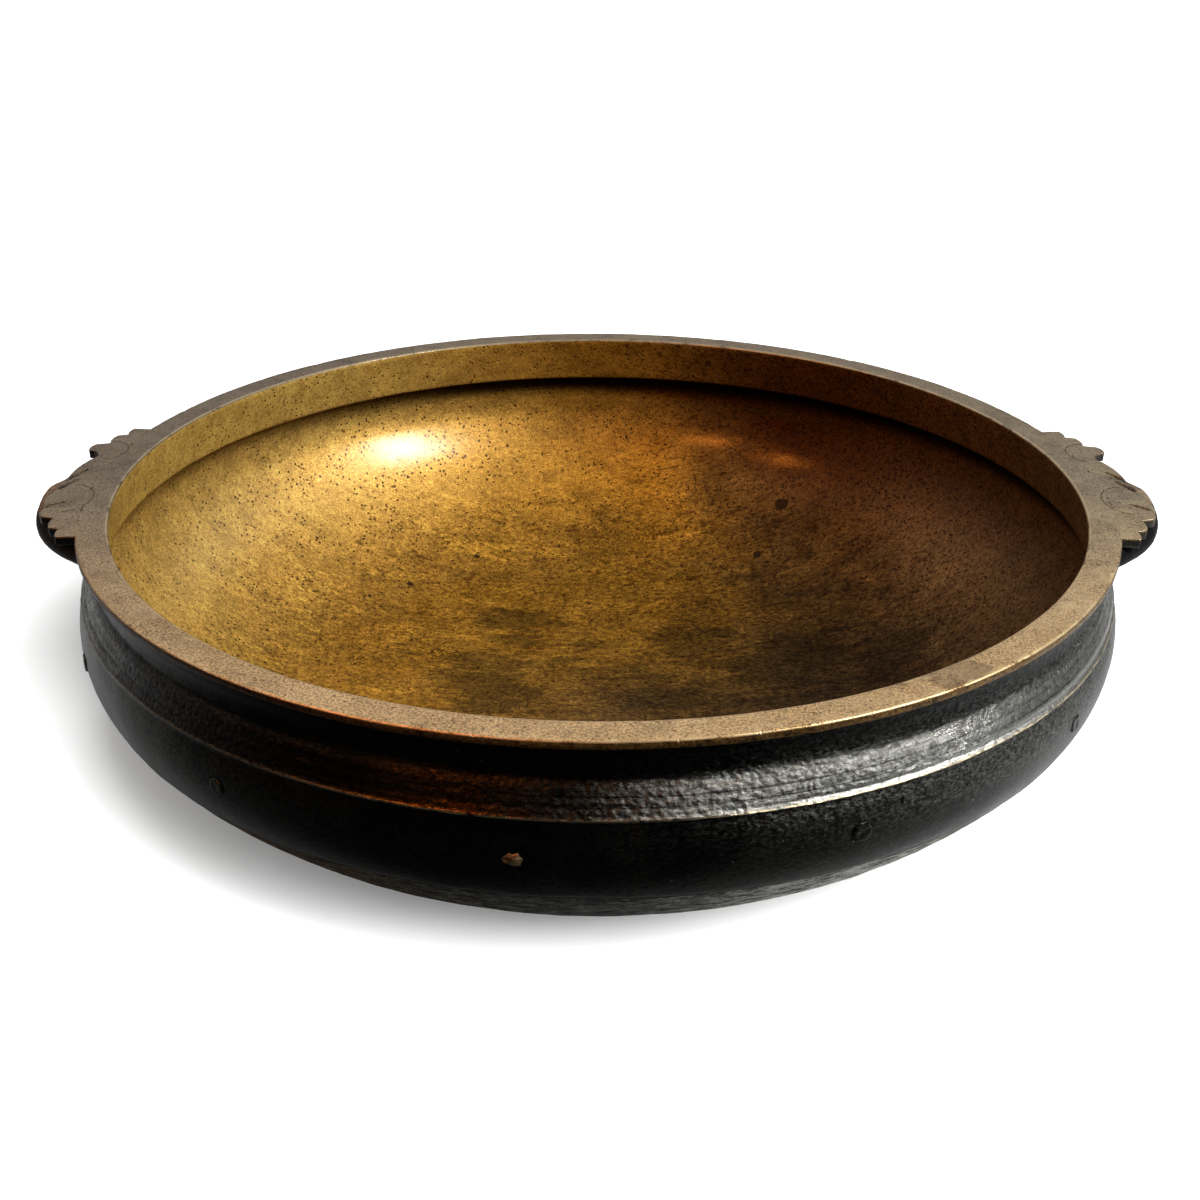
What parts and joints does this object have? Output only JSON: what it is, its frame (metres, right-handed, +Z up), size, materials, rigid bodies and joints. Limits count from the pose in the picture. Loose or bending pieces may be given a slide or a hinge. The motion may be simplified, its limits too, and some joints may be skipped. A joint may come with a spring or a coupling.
{
  "type": "urli bowl",
  "caption": "Wide shallow cast brass cooking bowl with a flat rim, an inner collar, a ridged blackened belly and two leaf-shaped side handles over curved grips.",
  "frame": {"origin": "centre of the flat foot under the bowl", "axes": "+Z up along the bowl's axis, +X through the two handles"},
  "size_m": [0.5286, 0.487, 0.136],
  "materials": {
    "bowl_brass": "aged, golden inside, black patina outside",
    "plate_brass": "worn satin",
    "blackened_brass": "blackened, semi-gloss",
    "chaplet_brass": "dark patina, worn bright on the proud edge"
  },
  "bodies": {
    "root": {"bowl_body": "bowl_brass", "right_handle_plate": "plate_brass", "right_handle_grip": "blackened_brass", "left_handle_plate": "plate_brass", "left_handle_grip": "blackened_brass", "belly_chaplet_01": "chaplet_brass", "belly_chaplet_02": "chaplet_brass", "belly_chaplet_03": "chaplet_brass", "belly_chaplet_04": "chaplet_brass", "belly_chaplet_05": "chaplet_brass", "belly_chaplet_06": "chaplet_brass", "belly_chaplet_07": "chaplet_brass", "belly_chaplet_08": "chaplet_brass", "belly_chaplet_09": "chaplet_brass", "belly_chaplet_10": "chaplet_brass", "belly_chaplet_11": "chaplet_brass", "belly_chaplet_12": "chaplet_brass"}
  },
  "joints": []
}
